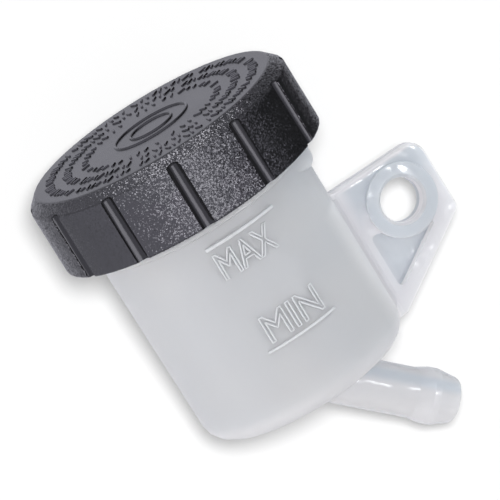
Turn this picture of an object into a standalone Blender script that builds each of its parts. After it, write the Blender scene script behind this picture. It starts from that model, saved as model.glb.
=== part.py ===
"""Small screw-cap fluid reservoir for a rear brake.

A translucent moulded cup carries a mounting ear and a hose barb at 45 degrees. A fluted cap screws on its
neck and clamps a rubber bellows diaphragm on the neck's rim, with a slip washer between the two.

Everything is modelled round the cup's axis, with the cup's underside at zero height, and hangs on one empty
that moves the model's origin to the bolt hole of the ear, at the face that meets the bracket.
"""

import math

import bmesh
import bpy
from mathutils import Matrix, Vector

# Cup, sizes in metres
CUP_RADIUS = 0.0158
CUP_DRAFT = math.radians(0.48)
CUP_WALL = 0.0016
FLOOR_THICKNESS = 0.0020
BASE_FILLET = 0.0030
FLOOR_FILLET = 0.0015
RIM_HEIGHT = 0.0376

# Neck and the collar under the cap
NECK_STEP = 0.0008
NECK_WALL = 0.0017
NECK_EDGE = 0.0003
SHOULDER_GAP = 0.0005
SHOULDER_SLOPE = 0.0005
COLLAR_PROUD = 0.0002
COLLAR_DEPTH = 0.0012
BEAD_PROUD = 0.0009
BEAD_DEPTH = 0.0037
BEAD_HALF_ANGLE = math.radians(72)
BORE_TAPER = 0.0020

# Screw thread, shared by the neck and the cap
THREAD_PITCH = 0.0025
THREAD_HEIGHT = 0.0011
THREAD_ROOT_WIDTH = 0.0013
THREAD_CREST_WIDTH = 0.0006
THREAD_TURNS = 1.75
THREAD_BELOW_RIM = 0.0010
THREAD_CLEARANCE = 0.00035
THREAD_FADE = math.radians(40)
THREAD_EMBED = 0.0004

# Stack on the rim: diaphragm, slip washer, cap
SEAT_GAP = 0.0003
DIAPHRAGM_WALL = 0.0008
WASHER_THICKNESS = 0.0010
WASHER_WIDTH = 0.0040
WASHER_EDGE = 0.00015

# Bellows of the diaphragm
BELLOWS_GAP = 0.0007
BELLOWS_PLEATS = 2
BELLOWS_LEG_PITCH = 0.0014
BELLOWS_FOLD = 0.0024
BELLOWS_ROUND = 0.00062
BELLOWS_DISH = 0.0008

# Cap
CAP_TOP_THICKNESS = 0.0020
CAP_HEIGHT = 0.0112
CAP_WALL = 0.00265
CAP_CHAMFER = 0.0016
CAP_CHAMFER_ROUND = 0.0006
CAP_LIP_ROUND = 0.0004
CAP_INNER_ROUND = 0.0008
FLUTE_COUNT = 12
FLUTE_RADIUS = 0.00105
FLUTE_DEPTH = 0.0009
FLUTE_TOP = 0.0013
FLUTE_AZIMUTH = math.radians(-106)

# Mounting ear
EAR_HOLE_OFFSET = 0.0085
EAR_HOLE_HEIGHT = 0.0139
EAR_HOLE_RADIUS = 0.0031
EAR_HOLE_ROUND = 0.0005
EAR_THICKNESS = 0.0028
EAR_TOP_MARGIN = 0.0061
EAR_TOP_FALL = math.radians(1.8)
EAR_TOP_FILLET = 0.0012
EAR_END_MARGIN = 0.0065
EAR_SLOPE = math.radians(30)
EAR_FOOT_REACH = 0.0013
EAR_FOOT_HEIGHT = 0.0003
EAR_TOP_CORNER = 0.0022
EAR_LOW_CORNER = 0.0015
EAR_EDGE_ROUND = 0.0004
EAR_ROOT_FILLET = 0.0015
EAR_FILLET_SINK = 0.00004
BOSS_RADIUS = 0.0053
BOSS_PROUD = 0.0004
POCKET_DEPTH = 0.0013
POCKET_RIM = 0.0023
POCKET_SIDE = 0.0019
POCKET_TOP_DROP = 0.0016
POCKET_CORNER = 0.0007

# Hose barb
BARB_ANGLE = math.radians(45)
BARB_TUBE_RADIUS = 0.00355
BARB_BULGE_RADIUS = 0.00395
BARB_TIP_RADIUS = 0.0031
BARB_BORE_RADIUS = 0.0020
BARB_BULGE_START = 0.0162
BARB_BULGE_FULL = 0.0183
BARB_TAPER_START = 0.0193
BARB_LENGTH = 0.0226
BARB_TIP_ROUND = 0.0006

# Fineness of the round shapes
RING_SEGMENTS = 54
BARB_SEGMENTS = 32
HOLE_SEGMENTS = 40
BORE_SEGMENTS = 22
BELLOWS_SEGMENTS = 28
FLUTE_SEGMENTS = 12
ARC_STEP = math.radians(23)
BELLOWS_ARC_STEP = math.radians(50)
EDGE_ARC_STEP = math.radians(91)

# Sizes that follow from those above
CUP_BASE_RADIUS = CUP_RADIUS - RIM_HEIGHT * math.tan(CUP_DRAFT)
CAVITY_BASE_RADIUS = CUP_BASE_RADIUS - CUP_WALL
NECK_RADIUS = CUP_RADIUS - NECK_STEP
NECK_BORE_RADIUS = NECK_RADIUS - NECK_WALL
FLANGE_BOTTOM = RIM_HEIGHT + SEAT_GAP
FLANGE_TOP = FLANGE_BOTTOM + DIAPHRAGM_WALL
WASHER_BOTTOM = FLANGE_TOP + SEAT_GAP
CAP_CEILING = WASHER_BOTTOM + WASHER_THICKNESS + SEAT_GAP
CAP_TOP = CAP_CEILING + CAP_TOP_THICKNESS
CAP_BOTTOM = CAP_TOP - CAP_HEIGHT
CAP_BORE_RADIUS = NECK_RADIUS + THREAD_HEIGHT + THREAD_CLEARANCE
CAP_RADIUS = CAP_BORE_RADIUS + CAP_WALL + FLUTE_DEPTH
SHOULDER_HEIGHT = CAP_BOTTOM - SHOULDER_GAP
THREAD_TOP = RIM_HEIGHT - THREAD_BELOW_RIM
BELLOWS_RADIUS = NECK_BORE_RADIUS - BELLOWS_GAP
EAR_REACH = CUP_RADIUS + EAR_HOLE_OFFSET


def collection(name):
    """Make a collection in the scene."""
    made = bpy.data.collections.new(name)
    bpy.context.scene.collection.children.link(made)
    return made


def material(name, colour, roughness, subsurface=0.0):
    """Plain material in the piece's own colour."""
    made = bpy.data.materials.new(name)
    made.use_nodes = True
    shader = made.node_tree.nodes["Principled BSDF"]
    shader.inputs["Base Color"].default_value = (*colour, 1.0)
    shader.inputs["Roughness"].default_value = roughness
    shader.inputs["Metallic"].default_value = 0.0
    shader.inputs["Subsurface Weight"].default_value = subsurface
    made.diffuse_color = (*colour, 1.0)
    return made


def add_object(name, mesh, group):
    """Put a mesh in the scene under a name."""
    made = bpy.data.objects.new(name, mesh)
    group.objects.link(made)
    return made


def as_cutter(piece):
    """Keep a helper out of the render, drawn as wires."""
    piece.hide_render = True
    piece.display_type = "WIRE"
    return piece


def boolean(target, other, operation):
    """Join another shape to the target, or cut it away."""
    made = target.modifiers.new(f"{operation.lower()} {other.name}", "BOOLEAN")
    made.operation = operation
    made.solver = "EXACT"
    made.object = other


def rounded(corners, closed=False, arc_step=ARC_STEP):
    """Turn corners (x, y, radius) into points, with each corner's arc worked out from its radius."""
    points = []
    count = len(corners)
    for i, (x, y, radius) in enumerate(corners):
        here = Vector((x, y))
        at_end = not closed and i in (0, count - 1)
        if at_end or radius <= 0:
            points.append(here)
            continue
        before = Vector(corners[i - 1][:2]) - here
        after = Vector(corners[(i + 1) % count][:2]) - here
        opening = before.angle(after)
        reach = min(radius / math.tan(opening / 2), before.length / 2, after.length / 2)
        radius = reach * math.tan(opening / 2)
        bisector = (before.normalized() + after.normalized()).normalized()
        centre = here + bisector * (radius / math.sin(opening / 2))
        start = here + before.normalized() * reach - centre
        finish = here + after.normalized() * reach - centre
        sweep = start.angle_signed(finish)
        steps = max(1, math.ceil(abs(sweep) / arc_step))
        for step in range(steps + 1):
            turn = Matrix.Rotation(-sweep * step / steps, 2)
            points.append(centre + turn @ start)
    return points


def turned(name, profile, group, segments=RING_SEGMENTS, half_step=False, closed=False):
    """Turn a profile of (radius, height) points round the Z axis. A closed profile makes a ring.

    A cutter is turned half a step off, so that its edges never lie on those of the shape it cuts.
    """
    mesh = bpy.data.meshes.new(name)
    edges = [(i, i + 1) for i in range(len(profile) - 1)]
    if closed:
        edges.append((len(profile) - 1, 0))
    start = math.pi / segments if half_step else 0.0
    mesh.from_pydata([(r * math.cos(start), r * math.sin(start), z) for r, z in profile], edges, [])
    made = add_object(name, mesh, group)
    screw = made.modifiers.new("turn", "SCREW")
    screw.axis = "Z"
    screw.angle = 2 * math.pi
    screw.steps = segments
    screw.render_steps = segments
    screw.use_merge_vertices = True
    screw.merge_threshold = 0.00001
    screw.use_smooth_shade = True
    return made


def evaluated_mesh(piece):
    """The mesh of an object as the viewport shows it, with loose caps joined."""
    bpy.context.view_layer.update()
    graph = bpy.context.evaluated_depsgraph_get()
    mesh = bpy.data.meshes.new_from_object(piece.evaluated_get(graph))
    shape = bmesh.new()
    shape.from_mesh(mesh)
    bmesh.ops.remove_doubles(shape, verts=shape.verts, dist=0.000002)
    shape.to_mesh(mesh)
    shape.free()
    return mesh


def upright_plate(name, outline, thickness, edge_round, group):
    """Make a plate that stands in the XZ plane from its outline, with rounded edges."""
    curve = bpy.data.curves.new(name, "CURVE")
    curve.dimensions = "2D"
    curve.fill_mode = "BOTH"
    curve.extrude = thickness / 2 - edge_round
    curve.bevel_depth = edge_round
    curve.bevel_resolution = 1
    curve.offset = -edge_round
    spline = curve.splines.new("POLY")
    spline.points.add(len(outline) - 1)
    for point, (x, z) in zip(spline.points, outline):
        point.co = (x, z, 0.0, 1.0)
    spline.use_cyclic_u = True
    flat = bpy.data.objects.new(name, curve)
    group.objects.link(flat)
    flat.rotation_euler = (math.pi / 2, 0.0, 0.0)
    mesh = evaluated_mesh(flat)
    placed = flat.matrix_world.copy()
    bpy.data.objects.remove(flat)
    made = add_object(name, mesh, group)
    made.matrix_world = placed
    return made


def loft(name, sections, group):
    """Skin a row of sections, each a ring of points in the same order, and close both ends."""
    shape = bmesh.new()
    rings = [[shape.verts.new(point) for point in section] for section in sections]
    for first, second in zip(rings, rings[1:]):
        for i in range(len(first)):
            j = (i + 1) % len(first)
            shape.faces.new((first[i], first[j], second[j], second[i]))
    shape.faces.new(list(reversed(rings[0])))
    shape.faces.new(rings[-1])
    bmesh.ops.recalc_face_normals(shape, faces=shape.faces)
    mesh = bpy.data.meshes.new(name)
    shape.to_mesh(mesh)
    shape.free()
    return add_object(name, mesh, group)


def fade(distance, length):
    """Rise smoothly from 0 to 1 over a length."""
    share = min(max(distance / length, 0.0), 1.0)
    return share * share * (3 - 2 * share)


def thread_ridge(name, root_radius, outward, start, group):
    """Make a helical ridge from a start azimuth, which runs out smoothly into the wall at both ends."""
    total = THREAD_TURNS * 2 * math.pi
    steps = round(THREAD_TURNS * RING_SEGMENTS)
    start += math.pi / RING_SEGMENTS
    sections = []
    for step in range(steps + 1):
        angle = total * step / steps
        height = THREAD_TOP - THREAD_PITCH * (total - angle) / (2 * math.pi)
        rise = fade(min(angle, total - angle), THREAD_FADE)
        crest = root_radius + outward * (rise * (THREAD_HEIGHT + THREAD_EMBED / 2) - THREAD_EMBED / 2)
        root = root_radius - outward * THREAD_EMBED
        ring = Vector((math.cos(start + angle), math.sin(start + angle), 0.0))
        sections.append([
            ring * root + Vector((0, 0, height + THREAD_ROOT_WIDTH / 2)),
            ring * crest + Vector((0, 0, height + THREAD_CREST_WIDTH / 2)),
            ring * crest + Vector((0, 0, height - THREAD_CREST_WIDTH / 2)),
            ring * root + Vector((0, 0, height - THREAD_ROOT_WIDTH / 2)),
        ])
    return as_cutter(loft(name, sections, group))


def collar_bead(group):
    """Make the thick part of the collar, over the ear, which fades out to both sides."""
    sections = []
    steps = round(2 * BEAD_HALF_ANGLE / (2 * math.pi) * RING_SEGMENTS)
    for step in range(steps + 1):
        angle = BEAD_HALF_ANGLE * (2 * step / steps - 1)
        rise = fade(BEAD_HALF_ANGLE - abs(angle), BEAD_HALF_ANGLE * 0.75)
        inside = CUP_RADIUS - CUP_WALL / 2
        outside = inside + rise * (CUP_WALL / 2 + BEAD_PROUD)
        top = SHOULDER_HEIGHT - SHOULDER_SLOPE
        low = top - COLLAR_DEPTH - rise * (BEAD_DEPTH - COLLAR_DEPTH)
        soft = (outside - inside) * 0.35
        ring = Vector((math.cos(angle), math.sin(angle), 0.0))
        corners = [
            (inside - CUP_WALL / 4, top),
            (outside - soft, top),
            (outside, top - soft),
            (outside - soft * 0.15, low + 2 * soft),
            (outside - soft * 0.6, low + soft * 0.7),
            (outside - soft * 1.6, low),
            (inside - CUP_WALL / 4, low),
        ]
        sections.append([ring * r + Vector((0, 0, z)) for r, z in corners])
    return as_cutter(loft("collar_bead", sections, group))


def cup_outside(group):
    """Turn the outer shape of the cup, its shoulder and its neck."""
    collar = CUP_RADIUS + COLLAR_PROUD
    collar_low = SHOULDER_HEIGHT - COLLAR_DEPTH
    wall_at_collar = CUP_BASE_RADIUS + collar_low * math.tan(CUP_DRAFT)
    profile = rounded([
        (0.0, RIM_HEIGHT, 0),
        (NECK_RADIUS, RIM_HEIGHT, NECK_EDGE),
        (NECK_RADIUS, SHOULDER_HEIGHT, 0),
        (collar - SHOULDER_SLOPE, SHOULDER_HEIGHT, 0),
        (collar, SHOULDER_HEIGHT - SHOULDER_SLOPE, 0),
        (collar, collar_low + COLLAR_PROUD, 0),
        (wall_at_collar, collar_low, 0),
        (CUP_BASE_RADIUS, 0.0, BASE_FILLET),
        (0.0, 0.0, 0),
    ])
    return turned("reservoir_body", profile, group)


def cup_inside(group):
    """Turn the cutter for the fluid space and the neck's bore."""
    above = RIM_HEIGHT + CUP_WALL
    taper_low = SHOULDER_HEIGHT - BORE_TAPER
    wall_at_taper = CAVITY_BASE_RADIUS + taper_low * math.tan(CUP_DRAFT)
    profile = rounded([
        (0.0, above, 0),
        (NECK_BORE_RADIUS, above, 0),
        (NECK_BORE_RADIUS, SHOULDER_HEIGHT, 0),
        (wall_at_taper, taper_low, 0),
        (CAVITY_BASE_RADIUS, FLOOR_THICKNESS, FLOOR_FILLET),
        (0.0, FLOOR_THICKNESS, 0),
    ])
    return as_cutter(turned("fluid_space", profile, group, half_step=True))


def place_on_barb(piece):
    """Lay a shape turned round its own Z axis along the barb, from the middle of the cup's floor."""
    piece.location = (0.0, 0.0, FLOOR_THICKNESS)
    piece.rotation_euler = (0.0, math.pi - BARB_ANGLE, 0.0)
    return as_cutter(piece)


def barb_outside(group):
    """Turn the barb's tube, bulge and tapered tip. It starts inside the cup, where the bore is cut later."""
    profile = rounded([
        (0.0, BARB_LENGTH, 0),
        (BARB_TIP_RADIUS, BARB_LENGTH, BARB_TIP_ROUND),
        (BARB_BULGE_RADIUS, BARB_TAPER_START, BARB_TIP_ROUND),
        (BARB_BULGE_RADIUS, BARB_BULGE_FULL, BARB_TIP_ROUND),
        (BARB_TUBE_RADIUS, BARB_BULGE_START, BARB_TIP_ROUND),
        (BARB_TUBE_RADIUS, -BARB_TUBE_RADIUS / 2, 0),
        (0.0, -BARB_TUBE_RADIUS / 2, 0),
    ])
    return place_on_barb(turned("barb_outside", profile, group, BARB_SEGMENTS, half_step=True))


def barb_bore(group):
    """Turn the cutter for the bore from the cup's floor to the barb's tip."""
    profile = [
        (0.0, BARB_LENGTH + BARB_BORE_RADIUS),
        (BARB_BORE_RADIUS, BARB_LENGTH + BARB_BORE_RADIUS),
        (BARB_BORE_RADIUS, -BARB_BORE_RADIUS * 1.2),
        (0.0, -BARB_BORE_RADIUS * 1.2),
    ]
    return place_on_barb(turned("barb_bore", profile, group, BORE_SEGMENTS, half_step=True))


def ear_slope_height(x):
    """Height of the ear's slanted lower edge at a distance from the cup's axis."""
    return EAR_FOOT_HEIGHT + (x - CUP_BASE_RADIUS - EAR_FOOT_REACH) * math.tan(EAR_SLOPE)


def ear_top_height(x):
    """Height of the ear's top edge, which falls a little outwards, at a distance from the cup's axis."""
    return EAR_HOLE_HEIGHT + EAR_TOP_MARGIN - (x - EAR_REACH) * math.tan(EAR_TOP_FALL)


def ear_plate(group):
    """Make the ear's plate, which stands in the plane of the barb and reaches into the cup's wall."""
    inner = CUP_BASE_RADIUS - CUP_WALL * 1.5
    root = CUP_BASE_RADIUS + ear_top_height(CUP_BASE_RADIUS) * math.tan(CUP_DRAFT) - CUP_WALL / 8
    root_top = ear_top_height(root)
    end = EAR_REACH + EAR_END_MARGIN
    outline = rounded([
        (inner, root_top + 2 * EAR_TOP_FILLET, 0),
        (root, root_top + 2 * EAR_TOP_FILLET, 0),
        (root, root_top, EAR_TOP_FILLET),
        (end, ear_top_height(end), EAR_TOP_CORNER),
        (end, ear_slope_height(end), EAR_LOW_CORNER),
        (CUP_BASE_RADIUS + EAR_FOOT_REACH, EAR_FOOT_HEIGHT, 0),
        (inner, EAR_FOOT_HEIGHT, 0),
    ], closed=True)
    return as_cutter(upright_plate("ear_plate", outline, EAR_THICKNESS, EAR_EDGE_ROUND, group))


def cup_radius_at(height):
    """Outer radius of the cup's wall at a height, with the base's fillet counted in."""
    wall = CUP_BASE_RADIUS + height * math.tan(CUP_DRAFT)
    drop = max(BASE_FILLET - height, 0.0)
    return wall - BASE_FILLET + math.sqrt(BASE_FILLET ** 2 - drop ** 2)


def ear_root_fillet(side, group):
    """Make the concave fillet between the cup's wall and one face of the ear. It dies out at the base."""
    face = EAR_THICKNESS / 2 - EAR_FILLET_SINK
    buried = CUP_WALL * 0.6
    top = ear_top_height(CUP_RADIUS + EAR_ROOT_FILLET) - 2 * EAR_EDGE_ROUND
    levels = [(BASE_FILLET * share, EAR_ROOT_FILLET * fade(share, 1.1)) for share in (0.4, 0.6, 0.8, 1.0)]
    levels.append((top, EAR_ROOT_FILLET))
    steps = 5
    rows = []
    for height, radius in levels:
        wall = cup_radius_at(height) - EAR_FILLET_SINK
        centre_y = face + radius
        centre_x = math.sqrt((wall + radius) ** 2 - centre_y ** 2)
        lean = math.atan2(centre_y, centre_x)
        section = [((wall - buried) * math.cos(lean), (wall - buried) * math.sin(lean))]
        for step in range(steps + 1):
            turn = math.pi + lean + (math.pi / 2 - lean) * step / steps
            section.append((centre_x + radius * math.cos(turn), centre_y + radius * math.sin(turn)))
        section.append((centre_x, face / 2))
        section.append((wall - buried, face / 2))
        rows.append([(x, side * y, height) for x, y in section])
    return as_cutter(loft(f"ear_fillet_{'rear' if side > 0 else 'front'}", rows, group))


def ear_pocket(group):
    """Make the cutter for the three-sided pocket under the boss, in the ear's front face."""
    left = CUP_RADIUS + POCKET_SIDE
    top = EAR_HOLE_HEIGHT - POCKET_TOP_DROP
    lift = POCKET_RIM / math.cos(EAR_SLOPE)
    right = EAR_REACH + BOSS_RADIUS * math.sin(EAR_SLOPE)
    outline = rounded([
        (left, top, POCKET_CORNER),
        (EAR_REACH, EAR_HOLE_HEIGHT - EAR_HOLE_RADIUS - POCKET_CORNER, 0),
        (right, ear_slope_height(right) + lift, POCKET_CORNER / 2),
        (left, ear_slope_height(left) + lift, POCKET_CORNER),
    ], closed=True)
    cutter = upright_plate("ear_pocket", outline, 2 * POCKET_DEPTH, 0.0, group)
    cutter.location.y = -EAR_THICKNESS / 2
    return as_cutter(cutter)


def across_ear(piece, forward):
    """Stand a shape turned round its own Z axis across the ear, on the bolt hole's axis."""
    piece.location = (EAR_REACH, forward, EAR_HOLE_HEIGHT)
    piece.rotation_euler = (math.pi / 2, 0.0, 0.0)
    return as_cutter(piece)


def ear_boss(group):
    """Turn the boss that rings the bolt hole and stands proud of the front face."""
    height = EAR_THICKNESS + BOSS_PROUD - EAR_EDGE_ROUND
    profile = rounded([
        (0.0, height, 0),
        (BOSS_RADIUS, height, BOSS_PROUD / 2),
        (BOSS_RADIUS, 0.0, 0),
        (0.0, 0.0, 0),
    ])
    return across_ear(turned("ear_boss", profile, group, HOLE_SEGMENTS), EAR_THICKNESS / 2 - EAR_EDGE_ROUND)


def ear_hole(group):
    """Turn the cutter for the bolt hole, with its mouths eased."""
    half = EAR_THICKNESS / 2
    front = half + BOSS_PROUD
    beyond = EAR_HOLE_ROUND * 3
    profile = [
        (0.0, front + beyond),
        (EAR_HOLE_RADIUS + EAR_HOLE_ROUND + beyond, front + beyond),
        (EAR_HOLE_RADIUS, front - EAR_HOLE_ROUND),
        (EAR_HOLE_RADIUS, EAR_HOLE_ROUND - half),
        (EAR_HOLE_RADIUS + EAR_HOLE_ROUND + beyond, -half - beyond),
        (0.0, -half - beyond),
    ]
    return across_ear(turned("ear_hole", profile, group, HOLE_SEGMENTS, half_step=True), 0.0)


def make_reservoir_body(parts, cutters):
    """One moulding: cup, neck, thread, collar, ear and barb, then its hollows."""
    body = cup_outside(parts)
    additions = [
        collar_bead(cutters),
        ear_plate(cutters),
        ear_root_fillet(1, cutters),
        ear_root_fillet(-1, cutters),
        barb_outside(cutters),
        thread_ridge("neck_thread", NECK_RADIUS, 1, 0.0, cutters),
    ]
    for addition in additions:
        boolean(body, addition, "UNION")
    boolean(body, ear_pocket(cutters), "DIFFERENCE")
    boolean(body, ear_boss(cutters), "UNION")
    for hollow in (cup_inside(cutters), barb_bore(cutters), ear_hole(cutters)):
        boolean(body, hollow, "DIFFERENCE")
    body.data.materials.append(material("milky_plastic", (0.78, 0.80, 0.82), 0.38, 0.4))
    return body


def flute_cutters(group):
    """Make one cutter for all the flutes: round-ended channels, evenly spaced, open at the cap's lower edge."""
    top = CAP_TOP - FLUTE_TOP + FLUTE_RADIUS - FLUTE_DEPTH
    profile = rounded([
        (0.0, top, 0),
        (FLUTE_RADIUS, top, FLUTE_RADIUS),
        (FLUTE_RADIUS, CAP_BOTTOM - FLUTE_RADIUS, 0),
        (0.0, CAP_BOTTOM - FLUTE_RADIUS, 0),
    ])
    single = turned("single_flute", profile, group, FLUTE_SEGMENTS)
    mesh = evaluated_mesh(single)
    bpy.data.objects.remove(single)
    distance = CAP_RADIUS + FLUTE_RADIUS - FLUTE_DEPTH
    shape = bmesh.new()
    for i in range(FLUTE_COUNT):
        turn = Matrix.Rotation(FLUTE_AZIMUTH + i * 2 * math.pi / FLUTE_COUNT, 4, "Z")
        placed = mesh.copy()
        placed.transform(turn @ Matrix.Translation((distance, 0.0, 0.0)))
        shape.from_mesh(placed)
        bpy.data.meshes.remove(placed)
    joined = bpy.data.meshes.new("flutes")
    shape.to_mesh(joined)
    shape.free()
    return as_cutter(add_object("flutes", joined, group))


def make_screw_cap(parts, cutters):
    """The fluted cap, with the thread inside its skirt."""
    profile = rounded([
        (0.0, CAP_TOP, 0),
        (CAP_RADIUS - CAP_CHAMFER, CAP_TOP, CAP_CHAMFER_ROUND),
        (CAP_RADIUS, CAP_TOP - CAP_CHAMFER, CAP_CHAMFER_ROUND),
        (CAP_RADIUS, CAP_BOTTOM, CAP_LIP_ROUND),
        (CAP_BORE_RADIUS, CAP_BOTTOM, CAP_LIP_ROUND),
        (CAP_BORE_RADIUS, CAP_CEILING, CAP_INNER_ROUND),
        (0.0, CAP_CEILING, 0),
    ])
    cap = turned("screw_cap", profile, parts)
    boolean(cap, thread_ridge("cap_thread", CAP_BORE_RADIUS, -1, math.pi, cutters), "UNION")
    boolean(cap, flute_cutters(cutters), "DIFFERENCE")
    cap.data.materials.append(material("black_plastic", (0.022, 0.022, 0.025), 0.5))
    return cap


def make_slip_washer(parts):
    """The plain ring that turns against the cap, so that the rubber below isn't dragged round."""
    outer = NECK_RADIUS
    inner = outer - WASHER_WIDTH
    top = WASHER_BOTTOM + WASHER_THICKNESS
    corners = [
        (outer, top, WASHER_EDGE),
        (outer, WASHER_BOTTOM, WASHER_EDGE),
        (inner, WASHER_BOTTOM, WASHER_EDGE),
        (inner, top, WASHER_EDGE),
    ]
    profile = rounded(corners, closed=True, arc_step=EDGE_ARC_STEP)
    washer = turned("slip_washer", profile, parts, closed=True)
    washer.data.materials.append(material("white_plastic", (0.86, 0.86, 0.84), 0.4))
    return washer


def make_diaphragm(parts):
    """The rubber bellows that hangs in the neck from its flange, drawn along the middle of its wall."""
    middle = FLANGE_BOTTOM + DIAPHRAGM_WALL / 2
    outer = BELLOWS_RADIUS - DIAPHRAGM_WALL / 2
    inner = outer - BELLOWS_FOLD
    corners = [
        (NECK_RADIUS - BELLOWS_ROUND / 2, middle, 0),
        (outer, middle, BELLOWS_ROUND),
    ]
    height = middle - BELLOWS_LEG_PITCH - BELLOWS_ROUND / 2
    for _ in range(BELLOWS_PLEATS):
        corners.append((outer, height, BELLOWS_ROUND))
        corners.append((inner, height, BELLOWS_ROUND))
        height -= BELLOWS_LEG_PITCH
        corners.append((inner, height, BELLOWS_ROUND))
        corners.append((outer, height, BELLOWS_ROUND))
        height -= BELLOWS_LEG_PITCH
    corners.append((outer, height, BELLOWS_ROUND))
    corners.append((outer * 0.5, height, BELLOWS_ROUND))
    corners.append((outer * 0.4, height + BELLOWS_DISH, BELLOWS_ROUND))
    corners.append((0.0, height + BELLOWS_DISH, 0))
    profile = rounded(corners, arc_step=BELLOWS_ARC_STEP)
    diaphragm = turned("diaphragm", profile, parts, BELLOWS_SEGMENTS)
    wall = diaphragm.modifiers.new("wall", "SOLIDIFY")
    wall.thickness = DIAPHRAGM_WALL
    wall.offset = 0.0
    wall.use_even_offset = True
    diaphragm.data.materials.append(material("black_rubber", (0.02, 0.02, 0.02), 0.65))
    return diaphragm


def main():
    """Build the pieces and hang them on the empty that places the cup's axis."""
    for old in list(bpy.data.objects):
        bpy.data.objects.remove(old)
    parts = collection("brake_fluid_reservoir")
    cutters = collection("cutters")
    cup_axis = bpy.data.objects.new("cup_axis", None)
    cup_axis.location = (-EAR_REACH, -EAR_THICKNESS / 2, -EAR_HOLE_HEIGHT)
    parts.objects.link(cup_axis)
    make_reservoir_body(parts, cutters)
    make_screw_cap(parts, cutters)
    make_slip_washer(parts)
    make_diaphragm(parts)
    for piece in list(parts.objects) + list(cutters.objects):
        if piece is not cup_axis:
            piece.parent = cup_axis


main()
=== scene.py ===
"""Looks, light and camera for the small brake fluid reservoir."""

import math

import bmesh
import bpy
from mathutils import Matrix, Vector


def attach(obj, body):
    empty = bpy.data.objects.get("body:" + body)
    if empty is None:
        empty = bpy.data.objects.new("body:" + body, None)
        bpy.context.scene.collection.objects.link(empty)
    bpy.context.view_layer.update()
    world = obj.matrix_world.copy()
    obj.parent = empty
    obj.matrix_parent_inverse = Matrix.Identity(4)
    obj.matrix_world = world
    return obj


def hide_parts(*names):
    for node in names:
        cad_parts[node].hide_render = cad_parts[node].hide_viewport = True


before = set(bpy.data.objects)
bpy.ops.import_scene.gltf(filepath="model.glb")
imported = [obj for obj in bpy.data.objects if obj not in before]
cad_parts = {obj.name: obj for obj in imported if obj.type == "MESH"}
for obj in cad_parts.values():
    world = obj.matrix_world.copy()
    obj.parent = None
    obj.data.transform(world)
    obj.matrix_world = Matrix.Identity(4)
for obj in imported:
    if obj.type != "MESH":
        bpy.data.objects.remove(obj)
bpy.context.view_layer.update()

MM = 0.001

# Where the cup's axis meets its underside, in the row frame
CUP_BASE = Vector((-24.3, -1.4, -13.9)) * MM

# Sizes of the cup and the cap, in millimetres, measured from the cup's base
CUP_BASE_RADIUS = 15.485
CUP_DRAFT = math.tan(math.radians(0.48))
CAP_TOP = 42.3
CAP_RADIUS = 20.0

# Where the barb's axis crosses the cup's, in millimetres above the base
BARB_START = 2.0

# Level marks, in millimetres: heights above the base, widths and shifts along the wall. A stroke is a radius
MARK_AZIMUTH = math.radians(-94)
MAX_LINE = 27.4
MIN_LINE = 10.8
MAX_LINE_STROKE = 0.27
MIN_LINE_STROKE = 0.20
MAX_LINE_FLATNESS = 0.55
MIN_LINE_FLATNESS = 0.75
MARK_HALF_LENGTH = 5.6
MARK_STEPS = 40
LETTER_HEIGHT = 3.85
LETTER_STROKE = 0.14
LETTER_SINK = -0.02
LETTER_STEP = 0.5
MAX_WORD_LOW = 22.5
MIN_WORD_LOW = 11.75
MAX_WORD_WIDTH = 8.6
MIN_WORD_WIDTH = 8.7
MAX_WORD_SHIFT = -0.9

# The font's spacing and the growth of its letters, for letters one unit high
LETTER_SPACING = 0.98
LETTER_GROWTH = 0.032

# The cap's raised pattern, in millimetres: radius, count and longest bar of each ring, then the plain rings
BAR_RINGS = ((16.0, 100, 1.7), (13.2, 84, 1.7), (10.4, 46, 1.5))
BAR_WIDTH = 0.45
BAR_HEIGHT = 0.18
BAR_SLOPE = 0.1
BAR_ROOT = 0.05
BAR_GAP_EVERY = 11
PLAIN_RINGS = (5.6, 3.2)
PLAIN_RING_STROKE = 0.22
PLAIN_RING_STEPS = 72

# What makes the bars uneven: two steps that never repeat, the farthest shift and the shortest bar, as shares
PLACE_STEP = 0.618
LENGTH_STEP = 0.755
BAR_SHIFT = 0.3
SHORTEST_BAR = 0.55

# The camera, as solved from the photograph
CAMERA_DISTANCE = 1000.0
CAMERA_TURN = math.radians(15)
CAMERA_ELEVATION = math.radians(14.2)
CAMERA_LEAN = math.radians(31.8)
CAMERA_TARGET = 22.3
TARGET_PIXEL = (226.6, 248.5)
FRAME_SIZE = 500
FOCAL_PIXELS = 7370
SENSOR_WIDTH = 36

# Facets that meet at less than this are shaded as one round surface
SHARP_ANGLE = math.radians(36)

# Points nearer than this are one point, in metres on a solid and in the font's units on a letter
SOLID_WELD = 0.000001
LETTER_WELD = 0.0005

# Soft-edged zones of the cup's moulding, each from where it begins to where it is full, in millimetres.
# These count from the cup's axis along X, or from its base along Z
OFF_CUP_X = (15.9, 16.9)
EAR_X = (15.0, 16.2)
# Beside the ear, under the collar, the cup gets a pale band of painted light
NEAR_EAR_X = (10.2, 14.8)
# Where the ear meets the cup it is paler, partly for the thicker moulding and partly as painted light
EAR_ROOT_X = (19.2, 16.6)
BARB_Z = (-0.2, -1.2)
FOOT_Z = (3.6, 1.2)

# These count from the bolt hole, along the axis that they name
UNDER_COLLAR_Z = (7.6, 6.3)
LOWER_EAR_Z = (4.5, -1.5)
# The ear's top edge is painted pale as painted light from above. The rim zones make the ear's face paler for
# its thicker moulding, and paint the pocket's walls and the boss's side pale against their shade
TOP_EDGE_Z = (5.3, 5.8)
RIM_FOOT_Y = (-1.55, -2.0)
RIM_CREST_Y = (-3.19, -3.1)
# The wall zones bound painted light: the pocket's slanted walls are painted pale against their shade
WALL_FOOT_Y = (-1.52, -1.62)
WALL_CREST_Y = (-2.79, -2.68)

# These count from the barb's axis, on its upper side, and bound the painted shade where the bore shows
# through
BORE_LOW = (0.5, 1.7)
BORE_HIGH = (3.0, 2.1)
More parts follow.
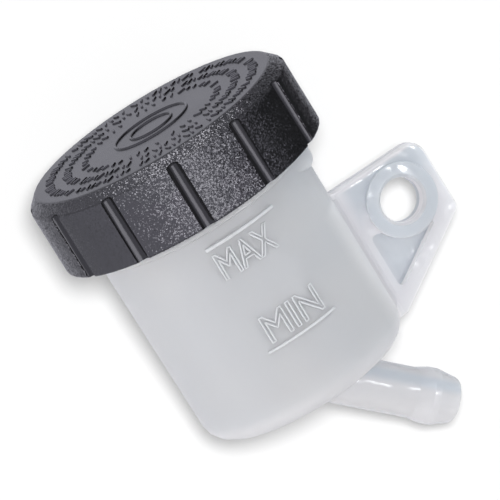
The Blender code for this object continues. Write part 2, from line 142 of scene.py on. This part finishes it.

# Tones of the moulding. A slow noise spreads over a pair, except where the two names say otherwise. The pale
# tones beside the ear are painted light, the ear's pale tone is partly painted light, and the bore's tone on
# the barb is painted shade
CUP_TONES = ((0.59, 0.60, 0.63), (0.645, 0.64, 0.655))
OFF_CUP_TONES = ((0.56, 0.59, 0.63), (0.61, 0.63, 0.66))
PAINTED_LIGHT_TONES = ((0.80, 0.79, 0.81), (0.86, 0.84, 0.86))
THIN_AND_THICK_WITH_PAINTED_LIGHT = ((0.548, 0.578, 0.615), (0.68, 0.675, 0.70))
BARB_AND_BORE_SHADE = ((0.655, 0.65, 0.67), (0.58, 0.61, 0.66))
CUP_ROUGHNESS = (0.32, 0.42)
OFF_CUP_ROUGHNESS = (0.10, 0.20)
BARB_ROUGHNESS = (0.13, 0.21)

# The part of a noise's values that is spread over a pair
CLOUD_REACH = (0.35, 0.65)
NOISE_REACH = (0.3, 0.7)

# The moulding's noises: scales per metre, heights in metres, and the cup's ripples as a share of the ear's
CLOUD_SCALE = 40
GLOSS_SCALE = 240
RIPPLE_SCALE = 170
RIPPLE_HEIGHT = 0.0006
CUP_RIPPLE_SHARE = 0.2
SKIN_SCALE = 2500
SKIN_HEIGHT = 0.00001
SKIN_STRENGTH = 0.3

# How far light scatters in the moulding, in metres
SCATTER_REACH = 0.0050

# The cap's grain. The zones count from the cap's radius and its top, in millimetres
CAP_COLOUR = (0.006, 0.006, 0.0065)
CAP_TONE_SCALE = 150
CAP_LIGHTER = 1.4
CAP_ROUGHNESS = (0.18, 0.24)
CAP_TINT = (0.93, 0.92, 1.0, 1.0)
GRAIN_SCALE = 3400
GRAIN_HEIGHT = 0.00008
SMOOTH_GRAIN_SHARE = 0.12
CELLS_TO_GRAIN = 1.7
CELL_TILT = 0.6
FLUTE_SHINE = 0.26
WALL_SHINE = 0.5
WALL_REACH = (-0.25, -0.12)
CHAMFER_Z = (-1.5, -1.3)
UNDER_TOP_Z = (-0.02, -0.12)

# How uneven the plain plastics and the rubber are: their lightest tone and their roughest spot
PLAIN_LIGHTER = 1.12
PLAIN_ROUGHER = 0.12

# The white card behind the object, in metres, and how bright the card and the world look
CARD_BEHIND = 0.0245
CARD_HALF = 0.3
CARD_GLOW = 0.18
WORLD_LIGHT = 0.50

# The surroundings that gloss reflects: bright in front, dimmer behind and nearly black on the right.
# A side is an azimuth and an elevation, and its edge is how far from it the glow ends and is full, in degrees
BRIGHT_SIDE = (-125, 5)
BRIGHT_EDGE = (100, 50)
DARK_SIDE = (5, -8)
DARK_EDGE = (58, 34)
MIRRORED_FRONT = 1.9
MIRRORED_BEHIND = 0.75
MIRRORED_DARK = 0.02
GLOSS_TINT = (0.90, 0.90, 1.0, 1)

# The tints of the lamps. Only the one on the right is cool
WHITE = (1, 1, 1)
COOL = (0.72, 0.88, 1.0)


def cup_point(x, y, z):
    """A point given in millimetres from the cup's base, in the row frame."""
    return CUP_BASE + Vector((x, y, z)) * MM


def camera_axes():
    """Directions of the picture's right side, its top and the viewer."""
    a, e, lean = CAMERA_TURN, CAMERA_ELEVATION, CAMERA_LEAN
    right = Vector((math.cos(a), -math.sin(a), 0))
    top = Vector((math.sin(a) * math.sin(e), math.cos(a) * math.sin(e), math.cos(e)))
    viewer = Vector((-math.sin(a) * math.cos(e), -math.cos(a) * math.cos(e), math.sin(e)))
    picture_right = right * math.cos(lean) - top * math.sin(lean)
    picture_top = right * math.sin(lean) + top * math.cos(lean)
    return picture_right, picture_top, viewer


PICTURE_RIGHT, PICTURE_TOP, VIEWER = camera_axes()
TARGET = cup_point(0, 0, CAMERA_TARGET)


def make_camera():
    """The photograph's camera."""
    data = bpy.data.cameras.new("camera")
    camera = bpy.data.objects.new("camera", data)
    bpy.context.scene.collection.objects.link(camera)
    data.sensor_width = SENSOR_WIDTH
    data.lens = SENSOR_WIDTH * FOCAL_PIXELS / FRAME_SIZE
    data.clip_start = 0.01
    data.clip_end = 20
    place = TARGET + VIEWER * CAMERA_DISTANCE * MM
    pixel = CAMERA_DISTANCE / FOCAL_PIXELS * MM
    across = (FRAME_SIZE / 2 - TARGET_PIXEL[0]) * pixel
    up = (TARGET_PIXEL[1] - FRAME_SIZE / 2) * pixel
    aim = TARGET + PICTURE_RIGHT * across + PICTURE_TOP * up
    back = (place - aim).normalized()
    side = PICTURE_TOP.cross(back).normalized()
    top = back.cross(side)
    turn = Matrix((side, top, back)).transposed().to_4x4()
    camera.matrix_world = Matrix.Translation(place) @ turn
    bpy.context.scene.camera = camera


def new_material(name):
    """An empty node material with its Principled shader."""
    made = bpy.data.materials.new(name)
    made.use_nodes = True
    return made, made.node_tree, made.node_tree.nodes["Principled BSDF"]


def add_node(tree, kind, **values):
    """Add a node and set its plain properties."""
    node = tree.nodes.new(kind)
    for key, value in values.items():
        setattr(node, key, value)
    return node


def feed(tree, node, entry, given):
    """Wire another node's output to an input, or set the input to a value."""
    if isinstance(given, bpy.types.NodeSocket):
        tree.links.new(given, node.inputs[entry])
    else:
        node.inputs[entry].default_value = given


def object_point(tree):
    """The point that is shaded, in the row frame."""
    return add_node(tree, "ShaderNodeTexCoord").outputs["Object"]


def split(tree, vector):
    """The three parts of a vector."""
    node = add_node(tree, "ShaderNodeSeparateXYZ")
    feed(tree, node, 0, vector)
    return tuple(node.outputs)


def maths(tree, operation, first, second):
    """One number from two."""
    node = add_node(tree, "ShaderNodeMath", operation=operation)
    feed(tree, node, 0, first)
    feed(tree, node, 1, second)
    return node.outputs[0]


def product(tree, first, *others):
    """Numbers multiplied together."""
    for other in others:
        first = maths(tree, "MULTIPLY", first, other)
    return first


def largest(tree, first, *others):
    """The largest of some numbers."""
    for other in others:
        first = maths(tree, "MAXIMUM", first, other)
    return first


def vector_maths(tree, operation, first, second=None, result="Vector"):
    """One vector or number from one vector or two."""
    node = add_node(tree, "ShaderNodeVectorMath", operation=operation)
    feed(tree, node, 0, first)
    if second is not None:
        feed(tree, node, 1, second)
    return node.outputs[result]


def spread(tree, source, start, finish, low=0.0, high=1.0, kind="LINEAR"):
    """A value that goes from low to high as another goes from start to finish."""
    node = add_node(tree, "ShaderNodeMapRange", interpolation_type=kind)
    feed(tree, node, "Value", source)
    feed(tree, node, "From Min", start)
    feed(tree, node, "From Max", finish)
    feed(tree, node, "To Min", low)
    feed(tree, node, "To Max", high)
    return node.outputs["Result"]


def zone(tree, source, edge, origin=0.0, kind="SMOOTHSTEP"):
    """0 to 1 across an edge that is given in millimetres from an origin."""
    start, finish = edge
    return spread(tree, source, origin + start * MM, origin + finish * MM, kind=kind)


def noise(tree, point, scale, detail=2.0):
    """A noise texture on the object's points."""
    node = add_node(tree, "ShaderNodeTexNoise")
    feed(tree, node, "Vector", point)
    feed(tree, node, "Scale", scale)
    feed(tree, node, "Detail", detail)
    return node.outputs["Fac"]


def ramp(tree, source, reach, tones):
    """Spread a part of a value's reach over two colours."""
    node = add_node(tree, "ShaderNodeValToRGB")
    feed(tree, node, "Fac", source)
    for element, position, tone in zip(node.color_ramp.elements, reach, tones):
        element.position = position
        element.color = (*tone, 1)
    return node.outputs["Color"]


def greys(low, high):
    """Two greys for a ramp."""
    return (low,) * 3, (high,) * 3


def bump(tree, height, distance, strength, before=None):
    """Raise the surface by a height texture."""
    node = add_node(tree, "ShaderNodeBump")
    feed(tree, node, "Strength", strength)
    feed(tree, node, "Distance", distance)
    feed(tree, node, "Height", height)
    if before is not None:
        feed(tree, node, "Normal", before)
    return node.outputs["Normal"]


def blend(tree, share, first, second):
    """Mix two colours by a share."""
    node = add_node(tree, "ShaderNodeMix", data_type="RGBA")
    feed(tree, node, 0, share)
    feed(tree, node, 6, first)
    feed(tree, node, 7, second)
    return node.outputs[2]


def choose(tree, share, first, second):
    """Mix two numbers by a share."""
    node = add_node(tree, "ShaderNodeMix")
    feed(tree, node, 0, share)
    feed(tree, node, 2, first)
    feed(tree, node, 3, second)
    return node.outputs[0]


def ear_parts(tree, point):
    """Three masks: the ear with the cup's foot, its thicker parts with painted light on its top edge, root
    and shaded walls, and the parts painted pale as painted light beside the ear and on the pocket's walls.
    """
    x, y, z = split(tree, point)
    beyond = zone(tree, x, EAR_X, CUP_BASE.x)
    inner = zone(tree, x, EAR_X[::-1], CUP_BASE.x)
    above = zone(tree, z, BARB_Z[::-1], CUP_BASE.z)
    foot = zone(tree, z, FOOT_Z, CUP_BASE.z)
    side = product(tree, zone(tree, x, NEAR_EAR_X, CUP_BASE.x), zone(tree, z, UNDER_COLLAR_Z), inner)
    walls = product(tree, zone(tree, y, WALL_CREST_Y), zone(tree, y, WALL_FOOT_Y), beyond)
    rims = product(tree, zone(tree, y, RIM_FOOT_Y), zone(tree, y, RIM_CREST_Y), zone(tree, z, LOWER_EAR_Z))
    root = zone(tree, x, EAR_ROOT_X, CUP_BASE.x)
    ear = product(tree, above, largest(tree, beyond, foot))
    # Paler where the moulding is thicker, and painted light on the top edge, the root and the shaded walls of
    # the pocket and the boss
    thick_with_painted_light = largest(tree, rims, root, zone(tree, z, TOP_EDGE_Z))
    # Painted light: a pale band on the cup beside the ear and pale pocket walls
    lit = product(tree, largest(tree, side, walls), above)
    return ear, thick_with_painted_light, lit


def barb_parts(tree, point):
    """Two masks: the barb, and the line along it where the side of its bore shows through, which gets a
    painted shade.
    """
    barb = zone(tree, split(tree, point)[2], BARB_Z, CUP_BASE.z)
    offset = vector_maths(tree, "SUBTRACT", point, cup_point(0, 0, BARB_START))
    across = vector_maths(tree, "DOT_PRODUCT", offset, Vector((1, 0, 1)).normalized(), "Value")
    return barb, product(tree, zone(tree, across, BORE_LOW), zone(tree, across, BORE_HIGH))


def milky_plastic():
    """Natural translucent moulding, glossier and bluer off the cup, paler where it is thicker, with painted
    light on shaded walls and on a band beside the ear, and a painted shade along the barb where its bore
    shows through.
    """
    made, tree, shader = new_material("milky_plastic")
    point = object_point(tree)
    ear, thick_with_painted_light, lit = ear_parts(tree, point)
    barb, bore = barb_parts(tree, point)
    off_cup = largest(tree, zone(tree, split(tree, point)[0], OFF_CUP_X, CUP_BASE.x), barb)
    cloud = noise(tree, point, CLOUD_SCALE)
    cup_tone = ramp(tree, cloud, CLOUD_REACH, CUP_TONES)
    colour = blend(tree, off_cup, cup_tone, ramp(tree, cloud, CLOUD_REACH, OFF_CUP_TONES))
    # The ear's tones: bluer where it is thin, paler where it is thicker, with painted light on its top edge
    # and shaded walls
    colour = blend(tree, ear, colour, ramp(tree, thick_with_painted_light, (0.0, 1.0), THIN_AND_THICK_WITH_PAINTED_LIGHT))
    # Painted light: a pale band beside the ear and pale pocket walls
    colour = blend(tree, lit, colour, ramp(tree, cloud, CLOUD_REACH, PAINTED_LIGHT_TONES))
    # Painted shade: a bluer, darker band along the barb where its bore shows through
    colour = blend(tree, barb, colour, ramp(tree, bore, (0.0, 1.0), BARB_AND_BORE_SHADE))
    feed(tree, shader, "Base Color", colour)
    gloss = noise(tree, point, GLOSS_SCALE, 3)
    rough = ramp(tree, gloss, NOISE_REACH, greys(*CUP_ROUGHNESS))
    rough = blend(tree, off_cup, rough, ramp(tree, gloss, NOISE_REACH, greys(*OFF_CUP_ROUGHNESS)))
    rough = blend(tree, barb, rough, ramp(tree, gloss, NOISE_REACH, greys(*BARB_ROUGHNESS)))
    feed(tree, shader, "Roughness", rough)
    ripples = product(tree, noise(tree, point, RIPPLE_SCALE), spread(tree, off_cup, 0, 1, CUP_RIPPLE_SHARE))
    rippled = bump(tree, ripples, RIPPLE_HEIGHT, 1.0)
    skin = noise(tree, point, SKIN_SCALE)
    feed(tree, shader, "Normal", bump(tree, skin, SKIN_HEIGHT, SKIN_STRENGTH, rippled))
    feed(tree, shader, "Subsurface Weight", 1.0)
    feed(tree, shader, "Subsurface Radius", (1.0, 1.0, 1.0))
    feed(tree, shader, "Subsurface Scale", SCATTER_REACH)
    feed(tree, shader, "IOR", 1.5)
    return made


def coarse_zone(tree, point):
    """1 on the cap's wall and chamfer, 0 in the flutes and on the top. Also how much each of them shines."""
    x, y, z = split(tree, vector_maths(tree, "SUBTRACT", point, cup_point(0, 0, CAP_TOP)))
    flat = add_node(tree, "ShaderNodeCombineXYZ")
    feed(tree, flat, "X", x)
    feed(tree, flat, "Y", y)
    radius = vector_maths(tree, "LENGTH", flat.outputs[0], result="Value")
    wall = zone(tree, radius, WALL_REACH, CAP_RADIUS * MM, "LINEAR")
    outside = largest(tree, wall, zone(tree, z, CHAMFER_Z, kind="LINEAR"))
    coarse = maths(tree, "MINIMUM", outside, zone(tree, z, UNDER_TOP_Z, kind="LINEAR"))
    return coarse, spread(tree, outside, 0, 1, FLUTE_SHINE, WALL_SHINE)


def grained_black():
    """Black plastic with a spark-eroded grain on the cap's wall and chamfer, and a finer one elsewhere."""
    made, tree, shader = new_material("cap_grain")
    point = object_point(tree)
    tone = noise(tree, point, CAP_TONE_SCALE, 3)
    light = tuple(c * CAP_LIGHTER for c in CAP_COLOUR)
    feed(tree, shader, "Base Color", ramp(tree, tone, NOISE_REACH, (CAP_COLOUR, light)))
    feed(tree, shader, "Roughness", ramp(tree, tone, NOISE_REACH, greys(*CAP_ROUGHNESS)))
    coarse, shine = coarse_zone(tree, point)
    depth = spread(tree, coarse, 0, 1, SMOOTH_GRAIN_SHARE)
    pits = product(tree, noise(tree, point, GRAIN_SCALE, 1), depth)
    grain = bump(tree, pits, GRAIN_HEIGHT, 1.0)
    cells = add_node(tree, "ShaderNodeTexVoronoi")
    feed(tree, cells, "Vector", point)
    feed(tree, cells, "Scale", GRAIN_SCALE * CELLS_TO_GRAIN)
    facets = vector_maths(tree, "SUBTRACT", cells.outputs["Color"], (0.5, 0.5, 0.5))
    tilted = vector_maths(tree, "MULTIPLY", facets, product(tree, coarse, CELL_TILT))
    normal = vector_maths(tree, "NORMALIZE", vector_maths(tree, "ADD", grain, tilted))
    feed(tree, shader, "Normal", normal)
    feed(tree, shader, "Specular IOR Level", shine)
    feed(tree, shader, "Specular Tint", CAP_TINT)
    return made


def simple_plastic(name, colour, roughness, scale, height):
    """Smooth plastic or rubber with a faint uneven skin."""
    made, tree, shader = new_material(name)
    tone = noise(tree, object_point(tree), scale, 3)
    light = tuple(min(1.0, c * PLAIN_LIGHTER) for c in colour)
    feed(tree, shader, "Base Color", ramp(tree, tone, NOISE_REACH, (colour, light)))
    spots = greys(roughness, roughness + PLAIN_ROUGHER)
    feed(tree, shader, "Roughness", ramp(tree, tone, NOISE_REACH, spots))
    feed(tree, shader, "Normal", bump(tree, tone, height, 0.5))
    return made


def mesh_object(name, shape, made, smooth=True):
    """Turn a bmesh into an object with a material."""
    mesh = bpy.data.meshes.new(name)
    shape.to_mesh(mesh)
    shape.free()
    for face in mesh.polygons:
        face.use_smooth = smooth
    mesh.materials.append(made)
    made_object = bpy.data.objects.new(name, mesh)
    bpy.context.scene.collection.objects.link(made_object)
    return made_object


def smooth_copy(node, body, made):
    """A copy of a CAD node, shaded smooth up to its sharp edges, which stands for the node."""
    shape = bmesh.new()
    shape.from_mesh(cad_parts[node].data)
    bmesh.ops.remove_doubles(shape, verts=shape.verts, dist=SOLID_WELD)
    for edge in shape.edges:
        edge.smooth = edge.calc_face_angle(math.pi) < SHARP_ANGLE
    copy = mesh_object(f"{node}_surface", shape, made)
    even = copy.modifiers.new("even shading", "WEIGHTED_NORMAL")
    even.keep_sharp = True
    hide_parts(node)
    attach(copy, body)
    return copy


def tube(shape, points, radius, sides, closed=False, flat=1.0):
    """Add a tube along points to a bmesh, flattened towards the cup's axis by a share."""
    count = len(points)
    rings = []
    for i, point in enumerate(points):
        before = points[(i - 1) % count] if closed or i else points[0]
        after = points[(i + 1) % count] if closed or i < count - 1 else points[-1]
        along = (after - before).normalized()
        outward = Vector((point.x - CUP_BASE.x, point.y - CUP_BASE.y, 0)).normalized()
        side = along.cross(outward).normalized()
        normal = side.cross(along)
        ring = []
        for k in range(sides):
            turn = 2 * math.pi * k / sides
            offset = side * math.cos(turn) + normal * (math.sin(turn) * flat)
            ring.append(shape.verts.new(point + offset * radius))
        rings.append(ring)
    pairs = list(zip(rings, rings[1:]))
    if closed:
        pairs.append((rings[-1], rings[0]))
    for first, second in pairs:
        for k in range(sides):
            j = (k + 1) % sides
            shape.faces.new((first[k], first[j], second[j], second[k]))
    if not closed:
        shape.faces.new(list(reversed(rings[0])))
        shape.faces.new(rings[-1])


def on_cup(across, height, proud=0.0):
    """A point on the cup's wall, at a distance along the wall from the marks' middle line."""
    radius = CUP_BASE_RADIUS + height * CUP_DRAFT + proud
    angle = MARK_AZIMUTH + across / radius
    return cup_point(radius * math.cos(angle), radius * math.sin(angle), height)


def letter_shape(word):
    """The outlines of a word's letters as a bmesh, one unit high."""
    curve = bpy.data.curves.new("word", "FONT")
    curve.body = word
    curve.size = 1.0
    curve.space_character = LETTER_SPACING
    curve.offset = LETTER_GROWTH
    curve.fill_mode = "NONE"
    curve.resolution_u = 3
    holder = bpy.data.objects.new("word", curve)
    bpy.context.scene.collection.objects.link(holder)
    bpy.context.view_layer.update()
    graph = bpy.context.evaluated_depsgraph_get()
    mesh = bpy.data.meshes.new_from_object(holder.evaluated_get(graph))
    shape = bmesh.new()
    shape.from_mesh(mesh)
    bpy.data.meshes.remove(mesh)
    bpy.data.objects.remove(holder)
    bmesh.ops.remove_doubles(shape, verts=shape.verts, dist=LETTER_WELD)
    return shape


def letter_outlines(word, width, height):
    """Closed outlines of a word's letters, in millimetres, centred on its middle line."""
    shape = letter_shape(word)
    loops = []
    unseen = set(shape.verts)
    while unseen:
        here = min(unseen, key=lambda v: v.index)
        loop = []
        while here is not None:
            loop.append(here.co.copy())
            unseen.discard(here)
            others = (edge.other_vert(here) for edge in here.link_edges)
            here = next((other for other in others if other in unseen), None)
        loops.append(loop)
    shape.free()
    xs = [p.x for loop in loops for p in loop]
    ys = [p.y for loop in loops for p in loop]
    middle = (min(xs) + max(xs)) / 2
    across = width / (max(xs) - min(xs))
    up = height / (max(ys) - min(ys))
    low = min(ys)
    return [[((p.x - middle) * across, (p.y - low) * up) for p in loop] for loop in loops]


def fine_path(loop):
    """The points of a closed outline, with more between those that are far apart."""
    path = []
    for (x0, y0), (x1, y1) in zip(loop, loop[1:] + loop[:1]):
        steps = max(1, round(math.hypot(x1 - x0, y1 - y0) / LETTER_STEP))
        for k in range(steps):
            path.append((x0 + (x1 - x0) * k / steps, y0 + (y1 - y0) * k / steps))
    return path


def level_marks(made):
    """Raised lines and words on the cup's wall."""
    shape = bmesh.new()
    lines = (
        (MAX_LINE, MAX_LINE_STROKE, MAX_LINE_FLATNESS),
        (MIN_LINE, MIN_LINE_STROKE, MIN_LINE_FLATNESS),
    )
    for height, stroke, flat in lines:
        points = [on_cup(MARK_HALF_LENGTH * (2 * i / MARK_STEPS - 1), height) for i in range(MARK_STEPS + 1)]
        tube(shape, points, stroke * MM, 10, flat=flat)
    words = (
        ("MAX", MAX_WORD_LOW, MAX_WORD_WIDTH, MAX_WORD_SHIFT),
        ("MIN", MIN_WORD_LOW, MIN_WORD_WIDTH, 0.0),
    )
    for word, low, width, shift in words:
        for loop in letter_outlines(word, width, LETTER_HEIGHT):
            points = [on_cup(x + shift, low + y, LETTER_SINK) for x, y in fine_path(loop)]
            tube(shape, points, LETTER_STROKE * MM, 6, closed=True)
    bmesh.ops.recalc_face_normals(shape, faces=shape.faces)
    marks = mesh_object("level_marks", shape, made)
    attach(marks, "reservoir")


def raised_bar(shape, radius, angle, length, lean):
    """Add a short raised bar on the cap's top, with sloped sides."""
    centre = cup_point(radius * math.cos(angle), radius * math.sin(angle), CAP_TOP)
    out = Vector((math.cos(angle + lean), math.sin(angle + lean), 0)) * MM
    side = Vector((-out.y, out.x, 0))
    up = Vector((0, 0, MM))
    half_length, half_width = length / 2, BAR_WIDTH / 2
    low, high = [], []
    for s, t in ((-1, -1), (1, -1), (1, 1), (-1, 1)):
        foot = centre + out * (s * half_length) + side * (t * half_width)
        crest = centre + out * (s * (half_length - BAR_SLOPE)) + side * (t * (half_width - BAR_SLOPE))
        low.append(shape.verts.new(foot - up * BAR_ROOT))
        high.append(shape.verts.new(crest + up * BAR_HEIGHT))
    shape.faces.new(high)
    for k in range(4):
        j = (k + 1) % 4
        shape.faces.new((low[k], low[j], high[j], high[k]))


def cap_pattern(made):
    """Rings of uneven raised bars on the cap's top, round two plain rings."""
    shape = bmesh.new()
    for radius, count, length in BAR_RINGS:
        for i in range(count):
            if i % BAR_GAP_EVERY == 0:
                continue
            place, share = i * PLACE_STEP % 1, i * LENGTH_STEP % 1
            angle = 2 * math.pi * (i + BAR_SHIFT * place) / count
            bar_length = length * (SHORTEST_BAR + (1 - SHORTEST_BAR) * share)
            raised_bar(shape, radius, angle, bar_length, place - 0.5)
    for radius in PLAIN_RINGS:
        points = []
        for i in range(PLAIN_RING_STEPS):
            angle = 2 * math.pi * i / PLAIN_RING_STEPS
            points.append(cup_point(radius * math.cos(angle), radius * math.sin(angle), CAP_TOP))
        tube(shape, points, PLAIN_RING_STROKE * MM, 8, closed=True)
    bmesh.ops.recalc_face_normals(shape, faces=shape.faces)
    pattern = mesh_object("cap_pattern", shape, made, smooth=False)
    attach(pattern, "cap")


def white_card():
    """A matte white that glows a little for the camera and is clear from behind."""
    made, tree, shader = new_material("white_card")
    feed(tree, shader, "Base Color", (0.5, 0.5, 0.5, 1))
    feed(tree, shader, "Roughness", 1.0)
    feed(tree, shader, "Specular IOR Level", 0.0)
    rays = add_node(tree, "ShaderNodeLightPath").outputs
    emission = add_node(tree, "ShaderNodeEmission")
    feed(tree, emission, "Strength", product(tree, rays["Is Camera Ray"], CARD_GLOW))
    front = add_node(tree, "ShaderNodeAddShader")
    feed(tree, front, 0, shader.outputs[0])
    feed(tree, front, 1, emission.outputs[0])
    clear = add_node(tree, "ShaderNodeBsdfTransparent")
    both = add_node(tree, "ShaderNodeMixShader")
    feed(tree, both, "Fac", add_node(tree, "ShaderNodeNewGeometry").outputs["Backfacing"])
    feed(tree, both, 1, front.outputs[0])
    feed(tree, both, 2, clear.outputs[0])
    feed(tree, tree.nodes["Material Output"], "Surface", both.outputs[0])
    return made


def backdrop():
    """A white card close behind the object, seen from its front only. It keeps the object's shadow."""
    shape = bmesh.new()
    bmesh.ops.create_grid(shape, x_segments=1, y_segments=1, size=CARD_HALF)
    sheet = mesh_object("backdrop", shape, white_card(), smooth=False)
    place = TARGET - VIEWER * CARD_BEHIND
    turn = Matrix((PICTURE_RIGHT, PICTURE_TOP, VIEWER)).transposed().to_4x4()
    sheet.matrix_world = Matrix.Translation(place) @ turn
    sheet.visible_glossy = False
    return sheet


def linked(name, things, included):
    """A collection for light linking, with each of its things included or excluded."""
    made = bpy.data.collections.new(name)
    for thing in things:
        made.objects.link(thing)
    for entry in made.collection_objects:
        entry.light_linking.link_state = "INCLUDE" if included else "EXCLUDE"
    return made


def soft_light(name, place, size, power, chosen, only_them=False, mirrored=True, through=(), colour=WHITE):
    """A round soft light aimed at the object. It lights only the chosen things, or all but them."""
    data = bpy.data.lights.new(name, "AREA")
    data.shape = "DISK"
    data.size = size
    data.energy = power
    data.color = colour
    light = bpy.data.objects.new(name, data)
    bpy.context.scene.collection.objects.link(light)
    light.location = place
    light.rotation_mode = "QUATERNION"
    light.rotation_quaternion = (place - TARGET).to_track_quat("Z", "Y")
    light.visible_camera = False
    light.visible_glossy = mirrored
    light.light_linking.receiver_collection = linked(f"{name}_receivers", chosen, only_them)
    if through:
        light.light_linking.blocker_collection = linked(f"{name}_blockers", through, False)


def from_picture(across, up, forward):
    """A place given from the object by the picture's directions, in metres."""
    return TARGET + PICTURE_RIGHT * across + PICTURE_TOP * up + VIEWER * forward


def direction(azimuth, elevation):
    """Unit vector by its direction round the object, in degrees."""
    a, e = math.radians(azimuth), math.radians(elevation)
    return Vector((math.cos(a) * math.cos(e), math.sin(a) * math.cos(e), math.sin(e)))


def round_about(azimuth, elevation, distance):
    """A place given by its direction round the object and its distance in metres."""
    return TARGET + direction(azimuth, elevation) * distance


def toward(tree, ray, side, edge, at_far, at_near):
    """A value that goes from one to another as a ray comes near a side."""
    far, near = (math.cos(math.radians(angle)) for angle in edge)
    dot = vector_maths(tree, "DOT_PRODUCT", ray, direction(*side), "Value")
    return spread(tree, dot, far, near, at_far, at_near, "SMOOTHSTEP")


def surroundings():
    """A world that the camera sees as white and gloss sees as a studio."""
    world = bpy.data.worlds.new("world")
    bpy.context.scene.world = world
    world.use_nodes = True
    tree = world.node_tree
    shade = tree.nodes["Background"]
    ray = add_node(tree, "ShaderNodeTexCoord").outputs["Generated"]
    front = toward(tree, ray, BRIGHT_SIDE, BRIGHT_EDGE, MIRRORED_BEHIND, MIRRORED_FRONT)
    dark = toward(tree, ray, DARK_SIDE, DARK_EDGE, 1.0, MIRRORED_DARK)
    rays = add_node(tree, "ShaderNodeLightPath").outputs
    mirrored = choose(tree, rays["Is Glossy Ray"], WORLD_LIGHT, product(tree, front, dark))
    feed(tree, shade, "Strength", choose(tree, rays["Is Camera Ray"], mirrored, 1.0))
    feed(tree, shade, "Color", blend(tree, rays["Is Glossy Ray"], (1, 1, 1, 1), GLOSS_TINT))


def lamps(card, cap):
    """Soft studio lamps, each with its place, its width in metres and its power in watts.

    The first lights only the card, and the last two only make the cap's grain glitter.
    """
    soft_light("card_key", from_picture(0.027, 0.052, 1.2), 0.168, 18.0, [card], only_them=True)
    soft_light("front", round_about(-107, 0, 0.5), 0.50, 0.25, [card])
    soft_light("key", from_picture(0.07, 0.07, 1.2), 0.08, 1.6, [card])
    soft_light("left_fill", round_about(-170, 10, 0.5), 0.30, 1.0, [card], mirrored=False)
    soft_light("right_fill", round_about(-22, 12, 0.5), 0.30, 0.50, [card], mirrored=False, colour=COOL)
    soft_light("back", from_picture(0, 0, -0.5), 0.40, 0.55, [card], mirrored=False, through=[card])
    soft_light("rim_fill", round_about(12, 30, 0.5), 0.30, 2.1, [card], mirrored=False)
    soft_light("low_fill", round_about(-110, -55, 0.5), 0.30, 0.38, [card], mirrored=False)
    soft_light("sheen", round_about(-68, -6, 1.0), 0.09, 0.9, [card, cap])
    soft_light("glint", round_about(-99, -4, 1.0), 0.82, 10.2, [cap], only_them=True)
    soft_light("high_glint", round_about(-88, 72, 1.2), 0.60, 13.0, [cap], only_them=True)


make_camera()
milky = milky_plastic()
cap_grain = grained_black()
white = simple_plastic("white_plastic", (0.78, 0.78, 0.76), 0.35, 400, 0.00002)
rubber = simple_plastic("black_rubber", (0.02, 0.02, 0.02), 0.6, 300, 0.00004)
marking = simple_plastic("marking_plastic", (0.66, 0.67, 0.69), 0.25, 700, 0.00001)
smooth_copy("reservoir_body", "reservoir", milky)
cap = smooth_copy("screw_cap", "cap", cap_grain)
smooth_copy("slip_washer", "liner", white)
smooth_copy("diaphragm", "liner", rubber)
level_marks(marking)
cap_pattern(cap_grain)
surroundings()
lamps(backdrop(), cap)

bpy.context.scene.view_settings.view_transform = "Standard"
